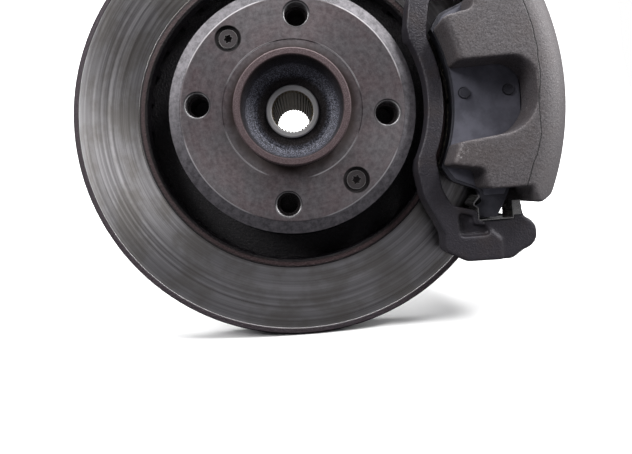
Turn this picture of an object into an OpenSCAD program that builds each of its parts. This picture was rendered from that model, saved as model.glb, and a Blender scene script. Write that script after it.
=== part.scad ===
// Vented front brake disc on its hub, gripped by a floating single-piston caliper.
// The disc turns about the Y axis; -Y is the wheel side, +X runs out through the
// middle of the caliper and Z is up. Millimetres throughout.

/* [Disc] */
// outside diameter of the disc
disc_d = 266; // [260:1:320]
// full thickness of the vented friction ring
disc_t = 22; // [20:0.2:28]
// thickness of each cheek of the ring
cheek_t = 7; // [5:0.5:9]
// distance from the wheel face to the outboard friction face
hat_depth = 15.5; // [12:0.5:30]
// outside diameter of the hat
hat_d = 141.2; // [138:0.2:150]
// diameter of the flat wheel face on the hat
hat_face_d = 127; // [118:1:130]
// how far the hat's outer chamfer drops below the wheel face
hat_chamfer_h = 2.8; // [1:0.1:4]
// thickness of the hat's plate
hat_plate_t = 7; // [5:0.5:9]
// thickness of the hat's side wall
hat_wall_t = 6.4; // [5:0.2:8]
// diameter of the turned relief round the centre hole
hat_relief_d = 79; // [72:1:90]
// depth of that relief
hat_relief_h = 0.4; // [0.2:0.1:1]
// radial width of the outboard cheek
ring_w = 45; // [44:0.5:48]
// radial distance from the rim to where the swept band starts
band_w = 40.5; // [40:0.1:41]
// width of the unworn lip at the rim
rim_lip_w = 3.7; // [2:0.1:6]
// depth the pads have worn the band below the unworn metal
wear_depth = 0.35; // [0.1:0.05:1]
// bevel at the rim's corners
rim_bevel = 1.2; // [0.5:0.1:2]
// number of cooling vanes
vane_count = 32; // [24:1:48]
// thickness of a cooling vane
vane_t = 4; // [3:0.5:6]

/* [Wheel fixing] */
// pitch circle diameter of the wheel bolts
bolt_pcd = 108; // [98:1:112]
// number of wheel bolts
bolt_count = 4; // [4:1:5]
// diameter of the wheel bolt holes in the disc
bolt_hole_d = 13.6; // [12:0.1:16]
// bevel round each wheel bolt hole
bolt_hole_bevel = 1.1; // [0.5:0.1:2]
// metal left behind the wheel bolt holes in the hub
thread_floor = 1.6; // [1:0.1:3]
// diameter of the tapped wheel bolt holes in the hub
hub_thread_d = 10.6; // [10:0.1:13]
// angle of the first wheel bolt from +X, towards +Z
pattern_angle = -6.6; // [-45:0.1:45]
// angle of the first disc screw from the first wheel bolt
screw_angle = 44.5; // [30:0.5:60]
// diameter of the recess round a disc screw
screw_recess_d = 14.6; // [12:0.1:16]
// depth of that recess
screw_recess_h = 1.6; // [1:0.1:3]
// head diameter of a disc screw
screw_head_d = 11; // [9:0.1:13]
// shank diameter of a disc screw
screw_d = 6; // [5:0.1:8]

/* [Hub] */
// diameter of the wheel's centring ring
pilot_d = 65; // [58:0.1:65]
// height of the centring ring above the wheel face
pilot_h = 8; // [5:0.5:12]
// diameter of the seat that centres the disc
disc_seat_d = 65.8; // [65.2:0.1:68]
// inside diameter of the hollow in the centring ring
cup_d = 56.8; // [50:0.1:60]
// depth of the cup's floor below the wheel face
cup_floor = 7.8; // [6:0.1:10]
// diameter of the machined face round the splines
boss_d = 30.4; // [29:0.1:36]
// depth of that face below the wheel face
boss_y = 5.9; // [4:0.1:7]
// inside diameter of the splined bore
spline_d = 22.6; // [20:0.1:24]
// number of spline grooves
spline_count = 36; // [24:1:38]
// depth of a spline groove
spline_depth = 0.8; // [0.5:0.1:1]
// depth of the plain bore in front of the splines
spline_lead = 2; // [1:0.1:3]
// diameter of the hub's bearing journal
journal_d = 40; // [36:0.5:45]
// how far the journal reaches behind the wheel face
hub_len = 67; // [60:1:75]
// outside diameter of the hub's flange
flange_d = 124; // [120:0.5:126]
// thickness of the flange
flange_t = 12; // [10:0.5:14]

/* [Pads] */
// radial depth of a backing plate
pad_depth = 40.3; // [39:0.1:42]
// how far a backing plate's outer edge stays inside the rim
pad_inset = 2; // [1:0.1:3]
// thickness of a backing plate
plate_t = 5.5; // [5:0.1:7]
// thickness of the friction lining
lining_t = 9; // [6:0.1:10]
// thickness of the damping shim
shim_t = 0.5; // [0.3:0.1:1]
// air gap between a lining and the disc
pad_gap = 0.1; // [0.05:0.05:0.3]
// half the width of a backing plate without its ears
pad_half_w = 60.5; // [59:0.5:61]
// height where the inner corner of a plate starts to slope
pad_corner_z = 38.5; // [34:0.5:42]
// length of an ear from the middle of the pad
ear_z = 69.6; // [66:0.1:70]
// radial play of an ear in its clip
ear_play = 0.25; // [0.1:0.05:0.5]
// depth of the notch between a plate and its ears
ear_notch = 3.6; // [3:0.1:5]
// diameter of the two pips on a plate's back
pip_d = 5.8; // [4:0.1:8]
// distance between those pips
pip_gap = 25; // [15:0.5:30]
// height of a pip
pip_h = 1.6; // [0.6:0.1:2]

/* [Carrier] */
// thickness of the bow that ties the legs on the wheel side
bow_t = 9; // [6:0.5:12]
// radial width of that bow
bow_w = 8.9; // [8:0.1:10]
// radial gap between that bow and the pads
bow_gap = 6.3; // [5:0.1:7]
// wheel-side face of the carrier
carrier_front_y = -4; // [-6:0.5:-3]
// thickness of the legs on either side of the disc
leg_t = 13; // [11:0.5:14]
// height of the rib on the front of the legs
rib_h = 1.5; // [0.5:0.1:2]
// depth of the cast pocket inside that rib
pocket_depth = 3.6; // [2:0.1:5]
// height of the leg ends from the middle
leg_end_z = 93.5; // [91:0.5:96]
// distance from the rim in to the inner wall of the pad slots
slot_inset = 34.5; // [34:0.5:35]
// width of the pad slots
slot_w = 19.8; // [18.5:0.1:20]
// floor of the pad slots, from the middle
slot_floor_z = 70.8; // [70.4:0.1:72]
// free space between the disc's rim and the carrier's bridges
rim_gap = 3; // [2:0.5:5]
// distance from the rim in to the two fixing bolts, across
lug_inset = 43.5; // [42:0.5:45]
// height of the two fixing bolts from the middle
lug_z = 81.5; // [78:0.5:84]
// radius of the fixing lugs
lug_r = 11; // [10:0.5:12]
// diameter of the tapped fixing holes
lug_hole_d = 10.6; // [10:0.1:12.6]
// how far the lugs stand out past the inner pad
lug_out = 5.4; // [4:0.2:7]
// height of the guide pins from the middle
pin_z = 79.4; // [78:0.1:82]
// radius of the sleeve round a guide pin
sleeve_r = 9.4; // [9:0.1:9.8]

/* [Guide pins] */
// diameter of a guide pin
pin_d = 9.8; // [8:0.1:11]
// running clearance of a guide pin, on the radius
pin_clear = 0.05; // [0.02:0.01:0.1]
// how deep a pin's bore reaches into its sleeve
pin_bore_len = 50; // [40:1:56]
// clearance of the guide bolts, on the radius
bolt_clear = 0.05; // [0.02:0.01:0.2]
// diameter of the guide bolts
guide_bolt_d = 8; // [6:0.1:8]
// across flats of the guide bolts' heads
guide_hex = 13; // [11:0.5:14]

/* [Caliper] */
// distance from the rim in to the piston's axis
piston_inset = 23; // [22:0.5:24]
// piston diameter
piston_d = 54; // [45:0.5:56]
// running clearance of the piston, on the radius
piston_clear = 0.05; // [0.02:0.01:0.1]
// length of the piston
piston_len = 38; // [34:0.5:42]
// wall of the hollow piston
piston_wall = 7; // [6:0.5:8]
// wall of the caliper's cylinder
cylinder_wall = 7.5; // [6:0.1:8]
// how far behind the inner pad the cylinder's mouth lies
mouth_gap = 7.4; // [7:0.1:9]
// room for the piston to draw back
piston_room = 7.35; // [6.5:0.05:12]
// thickness of the cylinder's closed end
cylinder_floor_t = 7; // [6:0.5:10]
// thickness of the fingers
finger_t = 17.4; // [14:0.2:20]
// radial thickness of the bridge over the disc
bridge_t = 18; // [16:0.1:20]
// how much thinner the bridge is towards its ends
bridge_step = 1.7; // [1:0.1:3]
// half the height of the bridge's thick middle
bridge_mid_z = 38; // [30:0.5:42]
// free space between the disc's rim and the bridge
bridge_gap = 2.5; // [2:0.1:4]
// radius of the rounded shoulder from the fingers to the bridge
shoulder_r = 22; // [18:0.5:24]
// distance from the rim in to the end of the window in the fingers
window_inset = 4; // [2:0.5:9]
// half the height of that window
window_half = 21; // [16:0.5:24]
// height of the window's middle
window_z = -5; // [-8:0.5:8]
// radius of the window's closed corners
window_corner = 14; // [8:0.5:15]
// how far behind the cylinder's mouth the bolting arms start
arm_back = 14; // [13:0.5:16]
// thickness of the bolting arms
arm_t = 11; // [8:0.5:12]
// across distance of the hose inlet from the piston's axis
inlet_dx = 14; // [10:0.5:16]
// height of the hose inlet
inlet_z = -13; // [-15:0.5:-8]
// diameter of the tapped hose inlet
inlet_d = 8.8; // [8:0.1:10]
// across distance of the bleed screw from the piston's axis
bleed_dx = 7; // [2:0.5:9]
// distance of the bleed screw from the bore's closed end
bleed_back = 4.5; // [4:0.5:6]

/* [Hidden] */
$fn = 96;
// overlap that joins two shapes of one piece, and gap that parts two pieces
join = 0.02;
part_gap = 0.02;
// gap between pieces that press on each other
touch_gap = 0.05;
disc_r = disc_d / 2;
ring_inner_r = disc_r - ring_w;
band_inner_r = disc_r - band_w;
hat_r = hat_d / 2;
face_out = hat_depth;
face_in = hat_depth + disc_t;
gap_y0 = face_out + cheek_t;
gap_y1 = face_in - cheek_t;
hat_in_r = hat_r - hat_wall_t;
band_outer_r = disc_r - rim_lip_w;
bolt_r = bolt_pcd / 2;
seat_clear = 0.05;
// pad stacks, outboard then inboard
out_lining_y = face_out - pad_gap - lining_t;
out_plate_y = out_lining_y - plate_t;
out_shim_y = out_plate_y - shim_t;
in_lining_y = face_in + pad_gap;
in_plate_y = in_lining_y + lining_t;
in_shim_y = in_plate_y + plate_t;
stack_y = in_shim_y + shim_t;
finger_back = out_shim_y - touch_gap;
finger_front = finger_back - finger_t;
piston_front = stack_y + touch_gap;
pad_outer_r = disc_r - pad_inset;
pad_inner_r = pad_outer_r - pad_depth;
// across position of the pads' sloping inner corners
pad_corner_x = pad_inner_r * cos(24);
// cylinder and piston
piston_x = disc_r - piston_inset;
piston_r = piston_d / 2;
piston_cup_r = piston_r - piston_wall;
bore_r = piston_r + piston_clear;
housing_r = bore_r + cylinder_wall;
mouth_y = stack_y + mouth_gap;
bore_end_y = piston_front + piston_len + piston_room;
cylinder_end_y = bore_end_y + cylinder_floor_t;
arm_y = mouth_y + arm_back;
inlet_x = piston_x + inlet_dx;
bleed_x = piston_x + bleed_dx;
bleed_y = bore_end_y - bleed_back;
bleed_tip_z = bore_r + 1.5;
// hub
lead_r = spline_d / 2 + spline_depth + 0.1;
spline_w = PI * spline_d / spline_count / 2;
// carrier
leg_back_y = carrier_front_y + leg_t;
in_leg_y0 = in_plate_y - 3.4;
in_leg_y1 = stack_y + 2.8;
bow_outer_r = pad_inner_r - bow_gap;
bow_inner_r = bow_outer_r - bow_w;
bow_end_z = 33;
slot_in_x = disc_r - slot_inset;
slot_out_x = slot_in_x + slot_w;
lug_x = disc_r - lug_inset;
lug_face_y = stack_y + lug_out;
cross_r = disc_r + rim_gap;
pin_r = pin_d / 2;
// the sleeves just clear the room left for the rim
pin_x = sqrt(pow(cross_r + sleeve_r + 0.16, 2) - pin_z * pin_z);
nose_y = lug_face_y + 4;
bore_floor_y = nose_y - pin_bore_len - 4;
flange_y = arm_y - 4;
clip_t = 0.5;
ear_in_x = slot_in_x + clip_t + ear_play;
ear_out_x = slot_out_x - clip_t - ear_play;
// fingers and bridge
finger_inner_r = pad_inner_r - 0.1;
bridge_in_r = disc_r + bridge_gap;
bridge_r = bridge_in_r + bridge_t;
window_end_x = disc_r - window_inset;

// ---- shared helpers ----

// corner i of a closed outline of [x, z, radius] corners, rounded by its radius
function unit(v) = v / norm(v);
function fillet(a, p, b, r, n) =
  let (
    u = unit(a - p),
    v = unit(b - p),
    half = acos(max(-1, min(1, u * v))) / 2,
    c = p + unit(u + v) * (r / sin(half)),
    s = p + u * (r / tan(half)),
    e = p + v * (r / tan(half)),
    a0 = atan2(s.y - c.y, s.x - c.x),
    a1 = atan2(e.y - c.y, e.x - c.x),
    d = ((a1 - a0 + 540) % 360) - 180
  )
  [for (i = [0:n]) c + r * [cos(a0 + d * i / n), sin(a0 + d * i / n)]];
function flat(p) = [p.x, p.y];
function corner_steps(r) = r < 3 ? 4 : (r < 12 ? 7 : 12);
function rounded(c) = [
  for (i = [0:len(c) - 1])
    let (
      a = c[(i + len(c) - 1) % len(c)],
      p = c[i],
      b = c[(i + 1) % len(c)]
    )
    each (p.z > 0 ? fillet(flat(a), flat(p), flat(b), p.z, corner_steps(p.z)) : [flat(p)])
];

// a round bar along Y
module rod(r, y0, y1, x = 0, z = 0) {
  translate([x, y0, z]) rotate([-90, 0, 0]) cylinder(r = r, h = y1 - y0);
}

// a taper along Y
module taper(r0, r1, y0, y1, x = 0, z = 0) {
  translate([x, y0, z]) rotate([-90, 0, 0]) cylinder(r1 = r0, r2 = r1, h = y1 - y0);
}

// a flat outline in X and Z given thickness along Y
module slab(y0, y1) {
  translate([0, y1, 0]) rotate([90, 0, 0]) linear_extrude(height = y1 - y0) children();
}

// a profile of radius and Y turned about the Y axis
module turned() {
  rotate([-90, 0, 0]) rotate_extrude($fn = 144) children();
}

// a place on a circle about the Y axis
module at(angle, r) {
  rotate([0, -angle, 0]) translate([r, 0, 0]) children();
}

// the same shape above and below the middle
module both() {
  children();
  mirror([0, 0, 1]) children();
}

// ---- disc, hub and screws ----

module brake_disc() {
  color([0.55, 0.55, 0.56])
  difference() {
    union() {
      turned() polygon([
        [disc_seat_d / 2 + seat_clear, hat_relief_h],
        [hat_relief_d / 2, hat_relief_h],
        [hat_relief_d / 2 + 0.4, 0],
        [hat_face_d / 2, 0],
        [hat_r, hat_chamfer_h],
        [hat_r + 1.2, gap_y1 - 3],
        [hat_r + 4.2, gap_y1],
        [disc_r - rim_lip_w / 2, gap_y1],
        [disc_r, gap_y1 + 0.6],
        [disc_r, face_in - rim_bevel],
        [disc_r - rim_bevel, face_in + wear_depth],
        [band_outer_r + 0.3, face_in + wear_depth],
        [band_outer_r, face_in],
        [band_inner_r, face_in],
        [band_inner_r - 0.3, face_in + wear_depth],
        [hat_in_r + 1.5, face_in + wear_depth],
        [hat_in_r, face_in - 1],
        [hat_in_r, hat_plate_t + 2.5],
        [hat_in_r - 2.5, hat_plate_t],
        [disc_seat_d / 2 + seat_clear, hat_plate_t]
      ]);
      turned() polygon([
        [ring_inner_r, gap_y0],
        [ring_inner_r, face_out - wear_depth + 1],
        [ring_inner_r + 1, face_out - wear_depth],
        [band_inner_r - 0.3, face_out - wear_depth],
        [band_inner_r, face_out],
        [band_outer_r, face_out],
        [band_outer_r + 0.3, face_out - wear_depth],
        [disc_r - rim_bevel, face_out - wear_depth],
        [disc_r, face_out + rim_bevel],
        [disc_r, gap_y0 - 0.6],
        [disc_r - rim_lip_w / 2, gap_y0]
      ]);
      for (i = [0:vane_count - 1])
        at(i * 360 / vane_count, 0)
          translate([ring_inner_r + 1, gap_y0 - join, -vane_t / 2])
            cube([ring_w - 5, gap_y1 - gap_y0 + 2 * join, vane_t]);
    }
    for (i = [0:bolt_count - 1])
      at(pattern_angle + i * 360 / bolt_count, bolt_r) {
        rod(bolt_hole_d / 2, -1, hat_plate_t + 1);
        taper(bolt_hole_d / 2 + bolt_hole_bevel + 1, bolt_hole_d / 2 - 0.01, -1, bolt_hole_bevel);
      }
    for (i = [0:1])
      at(pattern_angle + screw_angle + 90 + i * 180, bolt_r) {
        rod(screw_recess_d / 2, -1, screw_recess_h);
        rod(screw_d / 2 + 0.3, 0, hat_plate_t + 1);
        taper(screw_head_d / 2 + 0.2, screw_d / 2 + 0.2,
          screw_recess_h - join, screw_recess_h + (screw_head_d - screw_d) / 2);
      }
  }
}

module wheel_hub() {
  color([0.42, 0.38, 0.35])
  difference() {
    turned() polygon([
      [spline_d / 2, boss_y + spline_lead + 1],
      [lead_r, boss_y + spline_lead],
      [lead_r, boss_y + 0.5],
      [lead_r + 0.5, boss_y],
      [boss_d / 2 - 0.4, boss_y],
      [boss_d / 2, boss_y + 0.4],
      [boss_d / 2 + 1, cup_floor],
      [cup_d / 2 - 6, cup_floor],
      [cup_d / 2 - 3.2, cup_floor - 1],
      [cup_d / 2 - 1.2, cup_floor - 3.2],
      [cup_d / 2, 1 - pilot_h],
      [cup_d / 2 + 0.5, -pilot_h],
      [pilot_d / 2 - 0.8, -pilot_h],
      [pilot_d / 2, 0.8 - pilot_h],
      [pilot_d / 2, 0],
      [disc_seat_d / 2 - 0.4, 0],
      [disc_seat_d / 2, 0.4],
      [disc_seat_d / 2, hat_plate_t],
      [flange_d / 2 - 0.8, hat_plate_t],
      [flange_d / 2, hat_plate_t + 0.8],
      [flange_d / 2, hat_plate_t + flange_t - 1.5],
      [flange_d / 2 - 1.5, hat_plate_t + flange_t],
      [journal_d / 2 + 14, hat_plate_t + flange_t],
      [journal_d / 2 + 5, hat_plate_t + flange_t + 4],
      [journal_d / 2 + 4, hat_plate_t + flange_t + 5],
      [journal_d / 2, hat_plate_t + flange_t + 5],
      [journal_d / 2, hub_len - 1],
      [journal_d / 2 - 1, hub_len],
      [spline_d / 2 + 1.5, hub_len],
      [spline_d / 2, hub_len - 1.5]
    ]);
    for (i = [0:spline_count - 1])
      at(i * 360 / spline_count, spline_d / 2 - 1)
        translate([0, boss_y + 1, -spline_w / 2]) cube([1 + spline_depth, hub_len, spline_w]);
    for (i = [0:bolt_count - 1])
      at(pattern_angle + i * 360 / bolt_count, bolt_r)
        rod(hub_thread_d / 2, hat_plate_t - 1, hat_plate_t + flange_t - thread_floor);
    for (i = [0:1])
      at(pattern_angle + screw_angle + 90 + i * 180, bolt_r)
        rod(screw_d / 2 + bolt_clear, hat_plate_t - 1, hat_plate_t + flange_t + 1);
  }
}

module disc_screws() {
  y_head = screw_recess_h - 0.1;
  y_neck = y_head + (screw_head_d - screw_d) / 2;
  color([0.5, 0.46, 0.42])
  for (i = [0:1])
    at(pattern_angle + screw_angle + 90 + i * 180, bolt_r)
      difference() {
        union() {
          taper(screw_head_d / 2, screw_d / 2, y_head, y_neck);
          rod(screw_head_d / 2 - 0.3, y_head - 0.6, y_head + 0.01);
          rod(screw_d / 2, y_neck - 0.1, hat_plate_t + flange_t);
        }
        rod(2, y_head - 1, y_head + 2);
        for (k = [0:5])
          rotate([0, k * 60, 0]) rod(0.62, y_head - 1, y_head + 1.9, 2.05, 0, $fn = 24);
      }
}

// ---- carrier and what stays on it ----

// outline of one leg, upper side
module leg_outline() {
  polygon(rounded([
    [sqrt(bow_inner_r * bow_inner_r - bow_end_z * bow_end_z), bow_end_z, 0],
    [bow_inner_r - 8.6, 40, 9],
    [bow_inner_r - 6, 56, 16],
    [slot_in_x - 19.2, 77, 5],
    [lug_x - 10.3, 87, 4],
    [lug_x + 1, leg_end_z - 0.5, 8],
    [pin_x - 5.5, leg_end_z, 6],
    [pin_x + 3, pin_z + sleeve_r - 1, 5],
    [pin_x + sleeve_r - 0.9, pin_z - 2, 6],
    [slot_out_x + 6, slot_floor_z - 1.6, 2.5],
    [slot_out_x + 5.6, slot_floor_z - 8.8, 1.5],
    [slot_out_x, slot_floor_z - 8.8, 1],
    [slot_out_x, slot_floor_z, 0],
    [slot_in_x, slot_floor_z, 0],
    [slot_in_x, slot_floor_z - 5.6, 1.5],
    [slot_in_x - 14, slot_floor_z - 9.6, 6],
    [bow_outer_r - 4.2, 52, 9],
    [bow_outer_r - 5.9, 42, 9],
    [sqrt(bow_outer_r * bow_outer_r - bow_end_z * bow_end_z), bow_end_z, 0]
  ]));
}

module bow(r0, r1, y0, y1) {
  // reaches a little way into the legs
  half_angle = asin((bow_end_z + 0.6) / r0);
  intersection() {
    difference() {
      rod(r1, y0, y1, $fn = 144);
      rod(r0, y0 - 1, y1 + 1, $fn = 144);
    }
    slab(y0 - 1, y1 + 1) polygon([
      [0, 0],
      [2 * r1 * cos(half_angle), -2 * r1 * sin(half_angle)],
      [2 * r1 * cos(half_angle), 2 * r1 * sin(half_angle)]
    ]);
  }
}

module carrier() {
  color([0.27, 0.29, 0.33])
  difference() {
    union() {
      // wheel side
      bow(bow_inner_r, bow_outer_r, carrier_front_y, carrier_front_y + bow_t);
      both() slab(carrier_front_y, leg_back_y) leg_outline();
      // bridges past the rim, with the pin sleeves in them
      both()
      difference() {
        union() {
          slab(leg_back_y - 1, in_leg_y0 + 1)
            intersection() {
              leg_outline();
              translate([pin_x - 16, slot_floor_z + 1]) square([40, 40]);
            }
          rod(sleeve_r, carrier_front_y + rib_h, lug_face_y, pin_x, pin_z);
        }
        rod(cross_r, leg_back_y, in_leg_y0, $fn = 144);
      }
      // inboard side
      both() slab(in_leg_y0, in_leg_y1) leg_outline();
      bow(bow_inner_r, bow_outer_r + 3, in_leg_y0, in_leg_y0 + bow_t);
      both() {
        rod(lug_r, in_leg_y0, lug_face_y, lug_x, lug_z);
        rod(sleeve_r - 1.6, lug_face_y - 1, nose_y, pin_x, pin_z);
        rod(sleeve_r - 0.6, nose_y - 1.2, nose_y, pin_x, pin_z);
      }
    }
    both() {
      rod(lug_hole_d / 2, in_leg_y0 - 1, lug_face_y + 1, lug_x, lug_z);
      rod(pin_r + pin_clear, bore_floor_y, nose_y + 1, pin_x, pin_z);
      // cast pocket in the front of each leg, inside its raised rib
      slab(carrier_front_y - 1, carrier_front_y + pocket_depth) polygon(rounded([
        [slot_in_x - 11, slot_floor_z - 5.4, 2],
        [slot_in_x - 11, slot_floor_z + 8.4, 3],
        [slot_in_x + 8, slot_floor_z + 8.4, 2],
        [slot_in_x + 4, slot_floor_z + 2.6, 2],
        [slot_in_x - 2.6, slot_floor_z + 2, 1.5],
        [slot_in_x - 2.6, slot_floor_z - 2.8, 1.5]
      ]));
      // the leg's end is lower than the rib
      slab(carrier_front_y - 1, carrier_front_y + rib_h) polygon(rounded([
        [slot_in_x + 2, slot_floor_z - 12, 0],
        [slot_in_x + 2, slot_floor_z + 1.5, 0],
        [slot_in_x + 12, slot_floor_z + 11, 3],
        [slot_in_x + 12, leg_end_z + 6, 0],
        [pin_x + 2 * sleeve_r, leg_end_z + 6, 0],
        [pin_x + 2 * sleeve_r, slot_floor_z - 12, 0]
      ]));
    }
  }
}

// one folded strip lining a pad slot: y0, y1 are its ends
module clip(y0, y1, tab) {
  fold_z = slot_floor_z - 9.4;
  slab(y0, y1) polygon([
    [slot_in_x + part_gap, slot_floor_z - 7.5],
    [slot_in_x + part_gap, slot_floor_z - part_gap],
    [slot_out_x - part_gap, slot_floor_z - part_gap],
    [slot_out_x - part_gap, fold_z],
    [slot_out_x + 4.6, fold_z],
    [slot_out_x + 4.6, fold_z - clip_t],
    [slot_out_x - clip_t - part_gap, fold_z - clip_t],
    [slot_out_x - clip_t - part_gap, slot_floor_z - clip_t - part_gap],
    [slot_in_x + clip_t + part_gap, slot_floor_z - clip_t - part_gap],
    [slot_in_x + clip_t + part_gap, slot_floor_z - 7.5]
  ]);
  // tongue folded over the leg's face
  translate([slot_out_x + 0.3, tab, fold_z - clip_t])
    cube([4, clip_t, 8]);
  translate([slot_out_x + 0.3, min(tab, y0 + 1), fold_z - clip_t])
    cube([4, max(tab + clip_t, y1 - 1) - min(tab, y0 + 1), clip_t]);
  // sprung curl at the mouth of the inner leaf
  slab(y0, y1) polygon(rounded([
    [slot_in_x + part_gap, slot_floor_z - 7.6, 0],
    [slot_in_x - 2.2, slot_floor_z - 9.2, 1.2],
    [slot_in_x + 2, slot_floor_z - 13.5, 0.8],
    [slot_in_x + 0.9, slot_floor_z - 14.6, 0],
    [slot_in_x + 0.5, slot_floor_z - 14.2, 0],
    [slot_in_x + 0.9, slot_floor_z - 13.6, 0.4],
    [slot_in_x - 3, slot_floor_z - 9.1, 1.4],
    [slot_in_x + part_gap, slot_floor_z - 7.4, 0],
    [slot_in_x + part_gap, slot_floor_z - 7.1, 0],
    [slot_in_x + clip_t, slot_floor_z - 7.1, 0]
  ]));
}

module clips_outboard() {
  color([0.72, 0.72, 0.7])
  both()
    clip(carrier_front_y + 0.6, leg_back_y - 0.4, carrier_front_y + rib_h - clip_t - part_gap);
}

module clips_inboard() {
  color([0.72, 0.72, 0.7])
  both() clip(in_leg_y0 + 0.4, in_leg_y1 - 0.6, in_leg_y1 + part_gap);
}

module pin_boots() {
  len_b = flange_y - nose_y;
  color([0.06, 0.06, 0.06])
  both()
    translate([pin_x, 0, pin_z])
      turned() polygon([
        [pin_r + 0.1, nose_y + touch_gap],
        [sleeve_r - 0.9, nose_y + touch_gap],
        [sleeve_r + 0.1, nose_y + 0.8],
        [sleeve_r + 0.1, nose_y + 1.6],
        [sleeve_r - 2.6, nose_y + len_b * 0.38],
        [sleeve_r - 0.4, nose_y + len_b * 0.55],
        [sleeve_r - 2.6, nose_y + len_b * 0.72],
        [sleeve_r - 1.2, nose_y + len_b * 0.86],
        [sleeve_r - 1.2, flange_y - 0.1],
        [pin_r + 0.1, flange_y - 0.1]
      ]);
}

// ---- caliper and what rides on it ----

module bridge_profile() {
  c = [bridge_r - shoulder_r, finger_front + shoulder_r];
  polygon(concat(
    [
      [finger_inner_r + 1.5, finger_front],
      [finger_inner_r, finger_front + 1.5],
      [finger_inner_r, finger_back - 0.6],
      [finger_inner_r + 0.6, finger_back],
      [bridge_in_r - 3, finger_back],
      [bridge_in_r, finger_back + 3],
      [bridge_in_r, arm_y],
      [bridge_r, arm_y]
    ],
    [for (i = [0:9]) c + shoulder_r * [cos(-i * 10), sin(-i * 10)]]
  ));
}

// upper half of the caliper seen from the wheel side
module caliper_outline() {
  polygon(rounded([
    [disc_r - 73, 0, 0],
    [disc_r - 53, 33, 0],
    [disc_r - 50.2, 39.4, 3.5],
    [disc_r - 34.4, 42.6, 3],
    [disc_r - 33.8, 53, 2],
    [disc_r - 10.5, 53.3, 3],
    [disc_r - 6.7, 63.4, 3],
    [disc_r + 9.2, 57.2, 5],
    [bridge_r + 8, 42, 0],
    [bridge_r + 8, 0, 0]
  ]));
}

module caliper_body() {
  color([0.56, 0.56, 0.54])
  difference() {
    union() {
      // fingers and bridge
      intersection() {
        turned() bridge_profile();
        slab(finger_front - 1, arm_y + 1)
          union() {
            caliper_outline();
            mirror([0, 1]) caliper_outline();
          }
      }
      // shoulders from the bridge to the cylinder
      slab(mouth_y, arm_y)
        polygon(rounded([
          [piston_x - 12, -24, 0],
          [piston_x + 12, -50, 6],
          [piston_x + 16.3, -60, 4],
          [piston_x + 28.5, -57, 4],
          [piston_x + 34.5, -44, 6],
          [bridge_r - 6, 0, 0],
          [piston_x + 34.5, 44, 6],
          [piston_x + 28.5, 57, 4],
          [piston_x + 16.3, 60, 4],
          [piston_x + 12, 50, 6],
          [piston_x - 12, 24, 0]
        ]));
      // cylinder
      translate([piston_x, 0, 0])
        turned() polygon([
          [0, mouth_y],
          [housing_r - 1, mouth_y],
          [housing_r, mouth_y + 1],
          [housing_r, cylinder_end_y - 9],
          [housing_r - 1.2, cylinder_end_y - 5],
          [housing_r - 4.6, cylinder_end_y - 1.4],
          [housing_r - 9, cylinder_end_y],
          [0, cylinder_end_y]
        ]);
      // bolting arms
      both() {
        slab(arm_y, arm_y + arm_t) polygon(rounded([
          [piston_x - 16, 16, 0],
          [piston_x - 4, 52, 30],
          [pin_x - 10.4, pin_z, 0],
          [pin_x + 10.4, pin_z, 0],
          [pin_x + 13, 56, 20],
          [piston_x + 27, 26, 0],
          [piston_x + 18, 10, 0]
        ]));
        rod(10.6, arm_y, arm_y + arm_t, pin_x, pin_z);
      }
      // rib along the cylinder under the bridge
      slab(arm_y - 1, cylinder_end_y - 14) polygon(rounded([
        [piston_x + 20, -16, 0],
        [bridge_r - 9, -11, 4],
        [bridge_r - 9, 11, 4],
        [piston_x + 20, 16, 0]
      ]));
      // bosses for the hose and the bleed screw
      rod(9.5, cylinder_end_y - 6, cylinder_end_y + 5, inlet_x, inlet_z);
      translate([bleed_x, bleed_y, bore_r]) cylinder(r = 7, h = housing_r + 7 - bore_r);
    }
    // window between the fingers
    slab(finger_front - 2, finger_back + 2.5)
      polygon(rounded([
        [disc_r - 63, window_z - window_half - 3.2, 0],
        [window_end_x, window_z - window_half + 3.5, window_corner + 6],
        [window_end_x, window_z + window_half + 0.5, window_corner],
        [disc_r - 63, window_z + window_half - 1.5, 0]
      ]));
    // the bridge's ends are a little thinner than its middle
    both()
      difference() {
        slab(finger_front + 4, arm_y + 0.01) polygon([
          [disc_r - 3, bridge_mid_z],
          [bridge_r + 16, bridge_mid_z + 1.5],
          [bridge_r + 16, 75],
          [disc_r - 3, 75]
        ]);
        rod(bridge_r - bridge_step, finger_front, arm_y + 1, $fn = 144);
        rod(bridge_r + 30, finger_front, finger_front + 4 + shoulder_r / 2);
      }
    // room for the piston and its boot under the bridge
    rod(bore_r + 5, piston_front - 1, mouth_y + join, piston_x, 0);
    // cylinder bore, boot seat and seal groove
    rod(bore_r, mouth_y - 1, bore_end_y, piston_x, 0);
    rod(bore_r + 4, mouth_y - 1, mouth_y + 4, piston_x, 0);
    rod(bore_r + 3, mouth_y + 12, mouth_y + 16, piston_x, 0);
    // hose inlet and its drilling
    rod(inlet_d / 2, cylinder_end_y - 6, cylinder_end_y + 6, inlet_x, inlet_z);
    rod(1.6, bore_end_y - 1, cylinder_end_y - 5, inlet_x, inlet_z, $fn = 32);
    // bleed screw hole and its drilling
    translate([bleed_x, bleed_y, bleed_tip_z - 0.5]) cylinder(r = 3.6, h = housing_r, $fn = 48);
    translate([bleed_x, bleed_y, bore_r - 8]) cylinder(r = 1.4, h = 12, $fn = 32);
    // guide bolt holes
    both() rod(guide_bolt_d / 2 + bolt_clear, arm_y - 1, arm_y + arm_t + 1, pin_x, pin_z);
  }
}

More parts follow.
